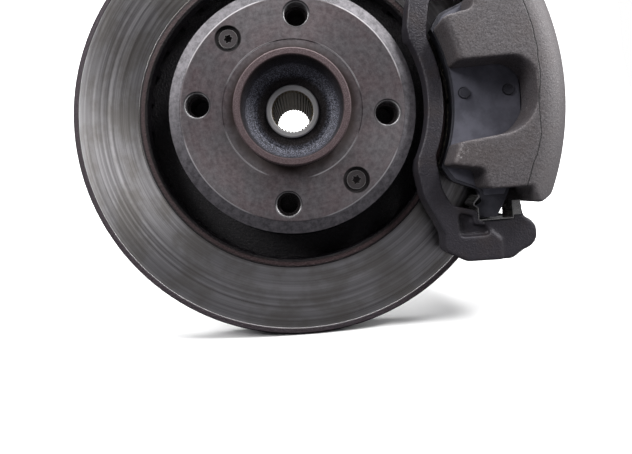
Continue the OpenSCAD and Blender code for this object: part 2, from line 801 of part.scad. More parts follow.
module guide_pins() {
  color([0.62, 0.62, 0.6])
  both()
    difference() {
      union() {
        rod(pin_r, bore_floor_y + 4, flange_y + 1, pin_x, pin_z);
        intersection() {
          rod(8.6, flange_y, arm_y - 0.02, pin_x, pin_z, $fn = 6);
          rod(8.2, flange_y, arm_y - 0.02, pin_x, pin_z);
        }
      }
      rod(guide_bolt_d / 2 - 0.6, flange_y - 18, arm_y + 1, pin_x, pin_z);
      // flat that lets the grease and air past
      translate([pin_x - pin_r - 1, bore_floor_y + 3, pin_z + pin_r - 0.5])
        cube([2 * pin_r + 2, 22, 2]);
    }
}

module guide_bolts() {
  head_y = arm_y + arm_t;
  color([0.5, 0.5, 0.47])
  both() {
    rod(guide_bolt_d / 2 - 0.65, flange_y - 16, arm_y + 0.5, pin_x, pin_z);
    rod(guide_bolt_d / 2, arm_y + 0.1, head_y + 0.5, pin_x, pin_z);
    rod(guide_hex * 0.62, head_y + 0.01, head_y + 1.6, pin_x, pin_z);
    intersection() {
      rod(guide_hex / sqrt(3), head_y + 1, head_y + 7.5, pin_x, pin_z, $fn = 6);
      taper(guide_hex * 1.3, guide_hex * 0.5, head_y - 1.5, head_y + 7.6, pin_x, pin_z);
    }
  }
}

module piston_seal() {
  color([0.08, 0.08, 0.08])
  translate([piston_x, 0, 0])
    turned() polygon([
      [piston_r + 0.03, mouth_y + 12.2],
      [bore_r + 2.9, mouth_y + 12.1],
      [bore_r + 2.9, mouth_y + 15.9],
      [piston_r + 0.03, mouth_y + 15.6]
    ]);
}

module piston() {
  y1 = piston_front + piston_len;
  color([0.7, 0.69, 0.66])
  translate([piston_x, 0, 0])
    turned() polygon([
      [0, y1 - 8],
      [piston_cup_r - 2, y1 - 8],
      [piston_cup_r, y1 - 10],
      [piston_cup_r, piston_front + 1],
      [piston_cup_r + 0.8, piston_front],
      [piston_r - 0.8, piston_front],
      [piston_r - 0.4, piston_front + 0.5],
      [piston_r - 0.4, piston_front + 2],
      [piston_r - 1.8, piston_front + 2.2],
      [piston_r - 1.8, piston_front + 4.4],
      [piston_r, piston_front + 4.8],
      [piston_r, y1 - 1.5],
      [piston_r - 1.5, y1],
      [0, y1]
    ]);
}

module dust_boot() {
  color([0.07, 0.07, 0.07])
  translate([piston_x, 0, 0])
    turned() polygon([
      [piston_r - 1.7, piston_front + 2.6],
      [piston_r + 3.3, piston_front + 2.6],
      [piston_r + 4.2, piston_front + 3.6],
      [piston_r + 3, piston_front + 5.2],
      [bore_r + 3.9, mouth_y + 0.1],
      [bore_r + 3.9, mouth_y + 3.9],
      [bore_r + 0.6, mouth_y + 3.9],
      [bore_r + 0.6, mouth_y + 2.9],
      [bore_r + 2.9, mouth_y + 2.6],
      [bore_r + 2.9, mouth_y + 0.5],
      [piston_r + 1.9, piston_front + 5.4],
      [piston_r + 2.9, piston_front + 3.6],
      [piston_r - 1.7, piston_front + 3.6]
    ]);
}

module bleed_screw() {
  z0 = housing_r + 7;
  color([0.66, 0.6, 0.42])
  translate([bleed_x, bleed_y, 0])
    difference() {
      union() {
        translate([0, 0, bleed_tip_z]) cylinder(r1 = 1.6, r2 = 3.5, h = 2.4, $fn = 48);
        translate([0, 0, bleed_tip_z + 2.4 - join])
          cylinder(r = 3.5, h = z0 - bleed_tip_z, $fn = 48);
        translate([0, 0, z0 + part_gap]) cylinder(r = 5.6, h = 6, $fn = 6);
        translate([0, 0, z0 + 6]) cylinder(r1 = 3.6, r2 = 2.6, h = 3, $fn = 48);
        translate([0, 0, z0 + 8]) cylinder(r = 2.6, h = 5, $fn = 48);
        translate([0, 0, z0 + 11]) cylinder(r1 = 3.4, r2 = 2.4, h = 4, $fn = 48);
      }
      translate([0, 0, z0 + 2]) cylinder(r = 1, h = 20, $fn = 24);
    }
}

module bleed_cap() {
  z0 = housing_r + 7;
  color([0.09, 0.09, 0.09])
  translate([bleed_x, bleed_y, z0 + 9.2])
    difference() {
      union() {
        cylinder(r = 4.6, h = 6, $fn = 48);
        translate([0, 0, 5.9]) cylinder(r1 = 4.6, r2 = 3, h = 1.8, $fn = 48);
      }
      translate([0, 0, -1]) cylinder(r = 3.5, h = 7, $fn = 48);
    }
}

// ---- pads ----

// outline of a backing plate, upper side of the inner edge and the ear
module plate_outline() {
  polygon(rounded([
    [disc_r - 73, -30, 0],
    [pad_corner_x - 1.6, -pad_corner_z, 6],
    [pad_corner_x + 4, -pad_corner_z - 9, 6],
    [ear_in_x + 2, -53.4, 2],
    [ear_in_x + ear_notch, -56, 1.5],
    [ear_in_x + ear_notch, -60.8, 1.2],
    [ear_in_x, -62.6, 0.8],
    [ear_in_x, -ear_z, 1.2],
    [ear_out_x, -ear_z, 1.2],
    [ear_out_x, -pad_half_w, 1.5],
    [ear_out_x + 20, -pad_half_w, 0],
    [ear_out_x + 20, pad_half_w, 0],
    [ear_out_x, pad_half_w, 1.5],
    [ear_out_x, ear_z, 1.2],
    [ear_in_x, ear_z, 1.2],
    [ear_in_x, 62.6, 0.8],
    [ear_in_x + ear_notch, 60.8, 1.2],
    [ear_in_x + ear_notch, 56, 1.5],
    [ear_in_x + 2, 53.4, 2],
    [pad_corner_x + 4, pad_corner_z + 9, 6],
    [pad_corner_x - 1.6, pad_corner_z, 6],
    [disc_r - 73, 30, 0]
  ]));
}

module ring_band(r0, r1, y0, y1) {
  difference() {
    rod(r1, y0, y1, $fn = 144);
    rod(r0, y0 - 1, y1 + 1, $fn = 144);
  }
}

// y0 is the plate's low face; back is -1 when its back faces the wheel
module plate(y0, back) {
  pip_y = back < 0 ? y0 - pip_h : y0 + plate_t - 0.5;
  intersection() {
    ring_band(pad_inner_r, pad_outer_r, y0, y0 + plate_t);
    slab(y0 - 1, y0 + plate_t + 1) plate_outline();
  }
  for (s = [-1, 1])
    rod(pip_d / 2, pip_y, pip_y + pip_h + 0.5, piston_x + s * pip_gap / 2, 1.5, $fn = 48);
}

// face is 1 when the rubbing face looks inboard, -1 when it looks to the wheel
module lining(y0, face) {
  y_face = face > 0 ? y0 + lining_t : y0;
  intersection() {
    ring_band(band_inner_r + 0.5, band_outer_r - 0.5, y0, y0 + lining_t);
    slab(y0 - 1, y0 + lining_t + 1)
      polygon(rounded([
        [disc_r - 63, -26, 0],
        [pad_corner_x + 4, -pad_corner_z - 1, 3],
        [ear_in_x + 3, -50.5, 3],
        [ear_out_x + 3, -52.5, 4],
        [ear_out_x + 20, -50, 0],
        [ear_out_x + 20, 50, 0],
        [ear_out_x + 3, 52.5, 4],
        [ear_in_x + 3, 50.5, 3],
        [pad_corner_x + 4, pad_corner_z + 1, 3],
        [disc_r - 63, 26, 0]
      ]));
    // bevelled ends, and the relief slot down the middle
    difference() {
      translate([0, y0 - 1, -pad_half_w]) cube([disc_r, lining_t + 2, 2 * pad_half_w]);
      both()
        rotate([90, 0, 90]) linear_extrude(height = disc_r) polygon([
          [y_face + face, 46],
          [y_face, 46],
          [y_face - face * 2.6, 53.5],
          [y_face + face, 53.5]
        ]);
      translate([0, y_face - (face > 0 ? 6 : 1), -1.5]) cube([disc_r, 7, 3]);
    }
  }
}

module shim(y0) {
  difference() {
    intersection() {
      ring_band(pad_inner_r + 1.2, pad_outer_r - 2, y0, y0 + shim_t);
      slab(y0 - 1, y0 + shim_t + 1)
        polygon(rounded([
          [disc_r - 73, -26, 0],
          [pad_corner_x + 1, -pad_corner_z, 5],
          [pad_corner_x + 6, -pad_corner_z - 8, 5],
          [ear_in_x + 2, -52, 2],
          [ear_in_x + 5, -54, 1.9],
          [ear_in_x + 5, -57, 1],
          [ear_out_x + 20, -57, 0],
          [ear_out_x + 20, 57, 0],
          [ear_in_x + 5, 57, 1],
          [ear_in_x + 5, 54, 1.9],
          [ear_in_x + 2, 52, 2],
          [pad_corner_x + 6, pad_corner_z + 8, 5],
          [pad_corner_x + 1, pad_corner_z, 5],
          [disc_r - 73, 26, 0]
        ]));
    }
    for (s = [-1, 1])
      rod(pip_d / 2 + 0.5, y0 - 1, y0 + shim_t + 1, piston_x + s * pip_gap / 2, 1.5, $fn = 48);
  }
}

module outer_plate() {
  color([0.33, 0.36, 0.41]) plate(out_plate_y, -1);
}

module outer_lining() {
  color([0.3, 0.28, 0.26]) lining(out_lining_y, 1);
}

module outer_shim() {
  color([0.4, 0.43, 0.48]) shim(out_shim_y);
}

module inner_plate() {
  color([0.33, 0.36, 0.41]) plate(in_plate_y, 1);
}

module inner_lining() {
  color([0.3, 0.28, 0.26]) lining(in_lining_y, -1);
}

module inner_shim() {
  color([0.4, 0.43, 0.48]) shim(in_shim_y);
}

// three-legged spring that holds the inner pad in the hollow piston
module inner_spring() {
  r = piston_cup_r;
  y0 = stack_y + part_gap;
  color([0.6, 0.6, 0.6])
  translate([piston_x, 0, 0]) {
    difference() {
      rod(8, y0, y0 + 1);
      rod(3.2, y0 - 1, y0 + 2, $fn = 48);
    }
    for (i = [0:2])
      rotate([0, i * 120 + 30, 0]) {
        translate([7, y0, -2.5]) cube([r - 10, 1, 5]);
        translate([r - 4, y0, -2.5]) cube([1, 12, 5]);
        translate([r - 4, y0 + 11, -2.5]) cube([3.2, 1, 5]);
      }
  }
}

brake_disc();
wheel_hub();
disc_screws();
carrier();
clips_outboard();
clips_inboard();
pin_boots();
caliper_body();
guide_pins();
guide_bolts();
piston_seal();
dust_boot();
bleed_screw();
bleed_cap();
piston();
outer_plate();
outer_lining();
outer_shim();
inner_plate();
inner_lining();
inner_shim();
inner_spring();
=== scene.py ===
# %% [markdown]
# # A vented brake disc, gripped by a floating caliper
#
# The solid model gives the exact shapes: disc, hub, carrier, caliper, pads and
# small parts. This lesson dresses them. Most pieces are machined or pressed, so
# their exact shapes stay and only get a finish. The two rough castings and the
# two kinds of rubber bellows are made again here, because a sand mould and a
# rubber mould leave soft forms that an exact model leaves out.

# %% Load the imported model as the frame
import math

import bmesh
import bpy
from mathutils import Matrix, Vector


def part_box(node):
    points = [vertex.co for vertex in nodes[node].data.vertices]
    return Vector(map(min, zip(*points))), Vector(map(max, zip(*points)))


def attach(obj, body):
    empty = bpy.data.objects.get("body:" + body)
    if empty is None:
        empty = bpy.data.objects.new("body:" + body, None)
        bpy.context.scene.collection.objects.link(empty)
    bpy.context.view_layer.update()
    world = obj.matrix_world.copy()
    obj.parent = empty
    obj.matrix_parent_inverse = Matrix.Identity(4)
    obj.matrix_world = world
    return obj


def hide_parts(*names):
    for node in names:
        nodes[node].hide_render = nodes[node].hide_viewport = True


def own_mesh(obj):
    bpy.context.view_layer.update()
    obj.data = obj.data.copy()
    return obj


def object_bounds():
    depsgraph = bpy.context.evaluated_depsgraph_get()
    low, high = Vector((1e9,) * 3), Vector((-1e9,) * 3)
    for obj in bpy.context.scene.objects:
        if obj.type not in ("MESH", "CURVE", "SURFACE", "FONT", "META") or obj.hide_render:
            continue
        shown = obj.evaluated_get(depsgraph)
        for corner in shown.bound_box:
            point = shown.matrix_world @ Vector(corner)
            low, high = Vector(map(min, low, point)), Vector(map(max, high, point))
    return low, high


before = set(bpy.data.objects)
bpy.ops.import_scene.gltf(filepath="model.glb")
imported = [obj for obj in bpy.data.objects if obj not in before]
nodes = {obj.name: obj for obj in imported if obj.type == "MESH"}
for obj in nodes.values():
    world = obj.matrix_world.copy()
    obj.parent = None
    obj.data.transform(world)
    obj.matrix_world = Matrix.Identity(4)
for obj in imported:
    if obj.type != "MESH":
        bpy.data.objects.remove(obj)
cad_box = [list(corner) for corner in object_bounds()]
MM = 0.001
print("pieces in the frame:", len(nodes))

# %% [markdown]
# ## Camera
#
# The brake is looked at from the wheel side, square on and from close by, with
# the disc's hub near the middle and the caliper at the right. A short lens close
# to the subject gives the strong perspective that shows the inside of the hat.
# The camera is rolled a few degrees, because the caliper hangs a little low.

# %% Camera in front of the wheel face
ROLL = math.radians(4.5)
camera_data = bpy.data.cameras.new("camera")
camera_data.lens = 22.9
camera_data.sensor_width = 36
camera_data.shift_x = 0.0233
camera_data.shift_y = -0.0631
camera_data.clip_start = 0.01
camera = bpy.data.objects.new("camera", camera_data)
camera.matrix_world = Matrix((
    (math.cos(ROLL), math.sin(ROLL), 0, 1.62 * MM),
    (0, 0, -1, -227 * MM),
    (-math.sin(ROLL), math.cos(ROLL), 0, -44.4 * MM),
    (0, 0, 0, 1)))
bpy.context.scene.collection.objects.link(camera)
bpy.context.scene.camera = camera
print("camera at", [round(v, 3) for v in camera.location])

# %% [markdown]
# ## Helpers for shader nodes
#
# A finish is a small network of nodes. Written out in full, each node takes four
# or five lines, so a thin helper adds a node, sets its values and joins its
# inputs in one call. A value that is a socket is joined, any other value is set.

# %% One-line shader nodes
class Wires:
    """Adds nodes to one shader tree and joins them."""

    def __init__(self, tree):
        self.tree = tree

    def plug(self, socket, value):
        if isinstance(value, bpy.types.NodeSocket):
            self.tree.links.new(value, socket)
        elif socket.type == "RGBA" and len(value) == 3:
            socket.default_value = (*value, 1)
        else:
            socket.default_value = value

    def put(self, kind, inputs=None, **settings):
        node = self.tree.nodes.new(kind)
        for name, value in settings.items():
            setattr(node, name, value)
        for name, value in (inputs or {}).items():
            self.plug(node.inputs[name], value)
        return node

    def math(self, operation, *values, clamp=False):
        inputs = dict(enumerate(values))
        return self.put("ShaderNodeMath", inputs, operation=operation, use_clamp=clamp).outputs[0]

    def mix(self, amount, low, high, blend="MIX"):
        inputs = {0: amount, 6: low, 7: high}
        return self.put("ShaderNodeMix", inputs, data_type="RGBA", blend_type=blend).outputs[2]

    def step(self, value, start, end, low=0.0, high=1.0):
        """Smoothly from low to high as value goes from start to end."""
        inputs = {0: value, 1: start, 2: end, 3: low, 4: high}
        return self.put("ShaderNodeMapRange", inputs, interpolation_type="SMOOTHSTEP").outputs[0]

    def between(self, value, start, end, soft):
        """1 where value lies between start and end, with soft borders."""
        rise = self.step(value, start - soft, start + soft)
        fall = self.step(value, end - soft, end + soft, 1.0, 0.0)
        return self.math("MULTIPLY", rise, fall)

    def noise(self, vector, scale, detail=3.0, rough=0.55, **settings):
        inputs = {"Vector": vector, "Scale": scale, "Detail": detail, "Roughness": rough}
        return self.put("ShaderNodeTexNoise", inputs, **settings).outputs[0]


def new_group(name, inputs, outputs):
    """An empty node group with named inputs {name: (kind, default)} and outputs {name: kind}."""
    tree = bpy.data.node_groups.new(name, "ShaderNodeTree")
    for label, (kind, default) in inputs.items():
        socket = tree.interface.new_socket(label, in_out="INPUT", socket_type="NodeSocket" + kind)
        if default is not None:
            socket.default_value = default
    for label, kind in outputs.items():
        tree.interface.new_socket(label, in_out="OUTPUT", socket_type="NodeSocket" + kind)
    wires = Wires(tree)
    start = wires.put("NodeGroupInput").outputs
    end = wires.put("NodeGroupOutput").inputs
    return wires, start, end


def place_group(wires, name, **inputs):
    """Puts a copy of a group into a material and returns its outputs."""
    node = wires.put("ShaderNodeGroup", node_tree=bpy.data.node_groups[name])
    for label, value in inputs.items():
        wires.plug(node.inputs[label.replace("_", " ")], value)
    return node.outputs


# %% [markdown]
# ## Shared effects
#
# Several finishes need the same things: where a point lies on a turned part, the
# grain of a sand casting, the fine grooves of a lathe, bright worn edges, small
# scuffs, and stains of rust and dust. Each is a node group, built once and placed
# in each material with its own values. They read positions in metres and work in
# millimetres inside, so a scale of 1 is about one feature per millimetre.

# %% Place on a turned part
wires, start, end = new_group(
    "turned place", {"Vector": ("Vector", None), "Centre X": ("Float", 0.0)},
    {"Radius": "Float", "Depth": "Float", "Angle": "Float"})
place = wires.put("ShaderNodeVectorMath", {0: start["Vector"], 3: 1 / MM}, operation="SCALE")
parts = wires.put("ShaderNodeSeparateXYZ", {0: place.outputs[0]}).outputs
across = wires.math("SUBTRACT", parts["X"], start["Centre X"])
squares = wires.math("ADD", wires.math("MULTIPLY", across, across),
                     wires.math("MULTIPLY", parts["Z"], parts["Z"]))
wires.plug(end["Radius"], wires.math("SQRT", squares))
wires.plug(end["Depth"], parts["Y"])
wires.plug(end["Angle"], wires.math("ARCTAN2", parts["Z"], across))
print("group: turned place")

# %% Distance from the nearest hole of a bolt circle
wires, start, end = new_group(
    "bolt circle distance",
    {"Radius": ("Float", 0.0), "Angle": ("Float", 0.0), "Circle Radius": ("Float", 54.0),
     "First Angle": ("Float", 0.0), "Step": ("Float", 1.5708)},
    {"Distance": "Float"})
turned_by = wires.math("SUBTRACT", start["Angle"], start["First Angle"])
half_step = wires.math("MULTIPLY", start["Step"], 0.5)
wrapped = wires.math("WRAP", turned_by, half_step, wires.math("MULTIPLY", half_step, -1))
along = wires.math("SUBTRACT", wires.math("MULTIPLY", start["Radius"], wires.math("COSINE", wrapped)),
                   start["Circle Radius"])
aside = wires.math("MULTIPLY", start["Radius"], wires.math("SINE", wrapped))
wires.plug(end["Distance"], wires.math("SQRT", wires.math(
    "ADD", wires.math("MULTIPLY", along, along), wires.math("MULTIPLY", aside, aside))))
print("group: bolt circle distance")

# %% Grain of a sand casting
wires, start, end = new_group(
    "cast grain", {"Vector": ("Vector", None), "Scale": ("Float", 1.0)},
    {"Height": "Float", "Speckle": "Float", "Cloud": "Float"})
place = wires.put("ShaderNodeVectorMath",
                  {0: start["Vector"], 3: wires.math("MULTIPLY", start["Scale"], 1 / MM)},
                  operation="SCALE").outputs[0]
coarse = wires.noise(place, 0.55, 5, 0.6)
pits = wires.put("ShaderNodeTexVoronoi", {"Vector": place, "Scale": 0.8},
                 feature="SMOOTH_F1").outputs["Distance"]
wires.plug(end["Height"], wires.math("ADD", coarse, wires.math("MULTIPLY", pits, 0.35)))
wires.plug(end["Speckle"], wires.step(wires.noise(place, 1.9, 3, 0.8), 0.54, 0.7))
wires.plug(end["Cloud"], wires.noise(place, 0.045, 4, 0.6))
print("group: cast grain")

# %% Fine grooves left by turning and by the pads
wires, start, end = new_group(
    "turned grooves",
    {"Radius": ("Float", 0.0), "Angle": ("Float", 0.0), "Pitch": ("Float", 1.0)},
    {"Height": "Float", "Streak": "Float", "Ray": "Float"})
east, north = wires.math("COSINE", start["Angle"]), wires.math("SINE", start["Angle"])
place = wires.put("ShaderNodeCombineXYZ", {
    0: wires.math("MULTIPLY", start["Radius"], start["Pitch"]),
    1: wires.math("MULTIPLY", east, 0.5), 2: wires.math("MULTIPLY", north, 0.5)}).outputs[0]
wires.plug(end["Height"], wires.noise(place, 2.2, 5, 0.75))
wires.plug(end["Streak"], wires.noise(place, 0.5, 7, 0.8))
# Ray: radial streaks; the disc uses them as painted rays of its sheen.
turned = wires.put("ShaderNodeCombineXYZ", {
    0: wires.math("MULTIPLY", start["Radius"], 0.035),
    1: wires.math("MULTIPLY", east, 2.6), 2: wires.math("MULTIPLY", north, 2.6)}).outputs[0]
wires.plug(end["Ray"], wires.noise(turned, 1.6, 5, 0.6))
print("group: turned grooves")

# %% Bright, worn edges
wires, start, end = new_group(
    "edge wear",
    {"Vector": ("Vector", None), "Width": ("Float", 0.001), "Broken Up": ("Float", 0.5)},
    {"Mask": "Float"})
rounded = wires.put("ShaderNodeBevel", {"Radius": start["Width"]}, samples=6).outputs[0]
true_normal = wires.put("ShaderNodeNewGeometry").outputs["Normal"]
agree = wires.put("ShaderNodeVectorMath", {0: rounded, 1: true_normal}, operation="DOT_PRODUCT")
edge = wires.step(agree.outputs["Value"], 0.995, 0.87)
patches = wires.noise(start["Vector"], 0.35 / MM, 4, 0.7)
kept = wires.step(patches, wires.math("SUBTRACT", start["Broken Up"], 0.2),
                  wires.math("ADD", start["Broken Up"], 0.1))
wires.plug(end["Mask"], wires.math("MULTIPLY", edge, kept))
print("group: edge wear")

# %% Clusters of small scuffs
wires, start, end = new_group(
    "scuffs", {"Vector": ("Vector", None), "Scale": ("Float", 0.08), "Amount": ("Float", 0.4)},
    {"Mask": "Float"})
place = wires.put("ShaderNodeVectorMath",
                  {0: start["Vector"], 3: wires.math("MULTIPLY", start["Scale"], 1 / MM)},
                  operation="SCALE").outputs[0]
level = wires.math("SUBTRACT", 1.0, start["Amount"])
where = wires.step(wires.noise(place, 1.0, 5, 0.6), level, wires.math("ADD", level, 0.14))
bits = wires.step(wires.noise(place, 9.0, 6, 0.85), 0.53, 0.62)
wires.plug(end["Mask"], wires.math("MULTIPLY", where, bits))
print("group: scuffs")

# %% Stains of rust, dust or grease
wires, start, end = new_group(
    "stains", {"Vector": ("Vector", None), "Scale": ("Float", 0.1), "Amount": ("Float", 0.5)},
    {"Mask": "Float", "Fine": "Float"})
place = wires.put("ShaderNodeVectorMath",
                  {0: start["Vector"], 3: wires.math("MULTIPLY", start["Scale"], 1 / MM)},
                  operation="SCALE").outputs[0]
level = wires.math("SUBTRACT", 1.0, start["Amount"])
wires.plug(end["Mask"], wires.step(wires.noise(place, 1.0, 6, 0.62),
                                   wires.math("SUBTRACT", level, 0.13),
                                   wires.math("ADD", level, 0.13)))
wires.plug(end["Fine"], wires.noise(place, 14.0, 3, 0.6))
print("group: stains")

# %% [markdown]
# ## One way to finish a material
#
# Each finish ends in a Principled shader: a base colour, a roughness, how much of
# it is bare metal, and a bump from a height. Values that are the same all over a
# piece are set straight on the shader, the rest come from the nodes.

# %% Material helper
def new_material(name):
    """An empty material, its wires, and the object position that its patterns read."""
    material = bpy.data.materials.new(name)
    material.use_nodes = True
    material.node_tree.nodes.clear()
    wires = Wires(material.node_tree)
    return material, wires, wires.put("ShaderNodeTexCoord").outputs["Object"]


def shade(wires, colour, roughness, metallic, height=None, bump_mm=0.05, **plain):
    """The Principled shader of a material. plain holds constants by socket name."""
    inputs = {"Base Color": colour, "Roughness": roughness, "Metallic": metallic}
    inputs.update({name.replace("_", " "): value for name, value in plain.items()})
    shader = wires.put("ShaderNodeBsdfPrincipled", inputs)
    if height is not None:
        bump = wires.put("ShaderNodeBump", {"Height": height, "Distance": bump_mm * MM})
        wires.plug(shader.inputs["Normal"], bump.outputs[0])
    output = wires.put("ShaderNodeOutputMaterial")
    wires.plug(output.inputs["Surface"], shader.outputs[0])
    return shader


def dress(material, *pieces):
    """Gives each piece this one material."""
    for piece in pieces:
        piece.data.materials.clear()
        piece.data.materials.append(material)
    print(material.name, "on", ", ".join(piece.name for piece in pieces))


# %% [markdown]
# ## The disc
#
# A brake disc is grey iron. The pads keep the swept band bright, with fine round
# scratches that pull every reflection out into a streak towards the centre. The
# rest stays as it was cast or turned and goes brown and dark: the lip at the rim,
# the narrow ring inside the band, the hat and the slot in between. One material
# covers it all, because the zones follow from the radius and the depth alone.

# %% Radii, depths and angles of the disc's zones, in millimetres and radians
DISC_EDGE = 133.0
BAND_IN, BAND_OUT = 92.6, 129.2
RING_IN, RING_OUT = 88.3, 92.4
HAT_EDGE, FLAT_EDGE = 70.75, 63.6
STEP_EDGE, PILOT_EDGE = 39.65, 33.5
FRONT_CHEEK, BACK_CHEEK = 16.0, 37.0
HOLE_RADIUS, SCREW_HEAD_RADIUS = 7.0, 5.6
BOLT_ANGLE, SCREW_ANGLE = math.radians(-6.6), math.radians(127.9)
print("swept band", BAND_IN, "to", BAND_OUT, "mm, hat", HAT_EDGE, "mm")

# %% Zones of the disc
disc_material, wires, place = new_material("worn disc iron")
spot = place_group(wires, "turned place", Vector=place)
radius, depth, angle = spot["Radius"], spot["Depth"], spot["Angle"]
grain = place_group(wires, "cast grain", Vector=place, Scale=1.3)
grooves = place_group(wires, "turned grooves", Radius=radius, Angle=angle, Pitch=1.0)
stain = place_group(wires, "stains", Vector=place, Scale=0.05, Amount=0.5)
bolt_gap = place_group(wires, "bolt circle distance", Radius=radius, Angle=angle,
                       First_Angle=BOLT_ANGLE)["Distance"]
screw_gap = place_group(wires, "bolt circle distance", Radius=radius, Angle=angle,
                        First_Angle=SCREW_ANGLE, Step=math.pi)["Distance"]

band = wires.between(radius, BAND_IN, BAND_OUT, 0.25)
outboard = wires.step(depth, FRONT_CHEEK + 0.2, FRONT_CHEEK - 0.1)
inboard = wires.step(depth, BACK_CHEEK - 0.2, BACK_CHEEK + 0.1)
rubbed = wires.math("MULTIPLY", band, wires.math("MAXIMUM", outboard, inboard))
hat_front = wires.math("MULTIPLY", wires.step(radius, HAT_EDGE + 0.15, HAT_EDGE - 0.15),
                       wires.step(depth, 3.1, 2.7))
flat_face = wires.math("MULTIPLY", hat_front, wires.step(radius, FLAT_EDGE + 0.2, FLAT_EDGE - 0.2))
ring = wires.math("MULTIPLY", wires.between(radius, RING_IN, RING_OUT, 0.3), outboard)
lip = wires.math("MULTIPLY", wires.step(radius, BAND_OUT, BAND_OUT + 0.3),
                 wires.step(radius, DISC_EDGE + 0.2, DISC_EDGE - 0.6))
# Painted glints: bright arcs on the turned edges of the flat face and of the step, strongest between
# the bolt holes, stand in for light caught by these edges.
painted_glint_arcs = wires.math("MAXIMUM", wires.between(radius, FLAT_EDGE - 0.4, FLAT_EDGE + 0.3, 0.2),
                         wires.between(radius, STEP_EDGE - 0.35, STEP_EDGE + 0.35, 0.2))
from_bolt = wires.math("SUBTRACT", angle, BOLT_ANGLE)
quarter = wires.math("COSINE", wires.math("MULTIPLY", from_bolt, 4.0))
glint_sectors = wires.step(quarter, 0.55, -0.1, 0.0, 0.75)
painted_glint_arcs = wires.math("MULTIPLY", wires.math("MULTIPLY", painted_glint_arcs, hat_front), glint_sectors)
hole_wall = wires.between(bolt_gap, HOLE_RADIUS - 0.5, HOLE_RADIUS + 0.2, 0.1)
# Darker, rust-brown hat face round the foot of the pilot ring, darkest next to it: partly rust,
# partly painted shade in that corner.
pilot_foot_rust_and_shade = wires.math("MULTIPLY", wires.step(radius, STEP_EDGE - 0.15, PILOT_EDGE), hat_front)
pilot_foot_rust_and_shade = wires.math("MULTIPLY", pilot_foot_rust_and_shade, wires.step(grain["Cloud"], 0.3, 0.55, 0.55, 1.0))

# %% Colours of the disc's zones
bright = wires.mix(wires.step(grooves["Streak"], 0.28, 0.72),
                   (0.24, 0.228, 0.232), (0.6, 0.585, 0.6))
# Partly a brown tint, partly painted sheen: radial streaks, browner where they are strong, stand in
# for the light and dark rays of the band's reflection.
band_tint_and_sheen = wires.mix(wires.step(grooves["Ray"], 0.42, 0.62, 0.0, 0.5), bright, (0.24, 0.218, 0.185))
# Painted highlight: a thin bright line along the outer edge of the swept band, standing in for light
# caught by that edge.
rim_glint_line = wires.between(radius, BAND_OUT - 0.3, BAND_OUT + 0.4, 0.2)
band_tint_and_sheen = wires.mix(rim_glint_line, band_tint_and_sheen, (0.75, 0.74, 0.74))
raw = wires.mix(grain["Speckle"], (0.006, 0.005, 0.007), (0.085, 0.077, 0.082))
fine = wires.noise(place, 0.75 / MM, 7, 0.8)
mottle = wires.step(wires.noise(place, 0.3 / MM, 7, 0.75), 0.32, 0.68)
turned_hat = wires.mix(mottle, (0.055, 0.048, 0.052), (0.13, 0.118, 0.127))
reddish = wires.mix(mottle, (0.06, 0.038, 0.042), (0.14, 0.105, 0.112))
hat_mottled = wires.mix(wires.math("MULTIPLY", stain["Mask"], 0.75), turned_hat, reddish)
hat_mottled = wires.mix(wires.step(grooves["Streak"], 0.35, 0.7, 0.0, 0.3), hat_mottled,
                        (0.15, 0.14, 0.148))
chamfer = wires.mix(mottle, (0.06, 0.055, 0.062), (0.15, 0.14, 0.155))
brown = wires.mix(grain["Speckle"], (0.05, 0.03, 0.032), (0.13, 0.092, 0.088))
# Painted shade: dark lines at both edges of the unworn ring stand in for the shade at its steps.
clear_of_shade_lines = wires.between(radius, RING_IN + 1.0, RING_OUT - 1.0, 0.4)
brown = wires.mix(clear_of_shade_lines, (0.012, 0.008, 0.009), brown)
rim = wires.mix(stain["Fine"], (0.05, 0.04, 0.048), (0.11, 0.09, 0.1))
colour = wires.mix(hat_front, raw, chamfer)
colour = wires.mix(flat_face, colour, hat_mottled)
# rust and painted shade round the pilot ring
colour = wires.mix(pilot_foot_rust_and_shade, colour, (0.03, 0.017, 0.015))
# painted glint arcs on the turned edges
colour = wires.mix(painted_glint_arcs, colour, (0.5, 0.48, 0.5))
colour = wires.mix(ring, colour, brown)
colour = wires.mix(lip, colour, rim)
hole_rim = wires.step(bolt_gap, HOLE_RADIUS + 1.0, HOLE_RADIUS + 0.8)
colour = wires.mix(hole_rim, colour, (0.06, 0.056, 0.06))
colour = wires.mix(hole_wall, colour, (0.35, 0.34, 0.35))
# Painted shade: a near-black ring round each screw head.
screw_ring_shade = wires.between(screw_gap, SCREW_HEAD_RADIUS, SCREW_HEAD_RADIUS + 2.0, 0.25)
colour = wires.mix(screw_ring_shade, colour, (0.02, 0.017, 0.018))
colour = wires.mix(rubbed, colour, band_tint_and_sheen)

# %% Shine and relief of the disc
metal = wires.math("MAXIMUM", rubbed, wires.math("MULTIPLY", hat_front, 0.3))
metal = wires.math("MAXIMUM", metal, wires.math("MULTIPLY", lip, 0.5))
metal = wires.math("MAXIMUM", metal, wires.math("MULTIPLY", hole_wall, 0.9))
dull = wires.step(fine, 0.35, 0.65, 0.62, 0.42)
rough_hat = wires.mix(hat_front, (0.7,) * 3, dull)
rough_all = wires.mix(rubbed, rough_hat, wires.step(grooves["Streak"], 0.3, 0.7, 0.27, 0.34))
cast_height = wires.math("MULTIPLY", grain["Height"], wires.step(hat_front, 0, 1, 1.6, 0.06))
cast_height = wires.math("MULTIPLY", cast_height, wires.step(rubbed, 0, 1, 1.0, 0.0))
fine_height = wires.math("MULTIPLY", wires.math("MULTIPLY", fine, 0.12), hat_front)
groove_height = wires.math("MULTIPLY", grooves["Height"], 0.05)
edge_fall = wires.math("MULTIPLY", wires.step(radius, FLAT_EDGE - 0.7, FLAT_EDGE + 0.5), -0.5)
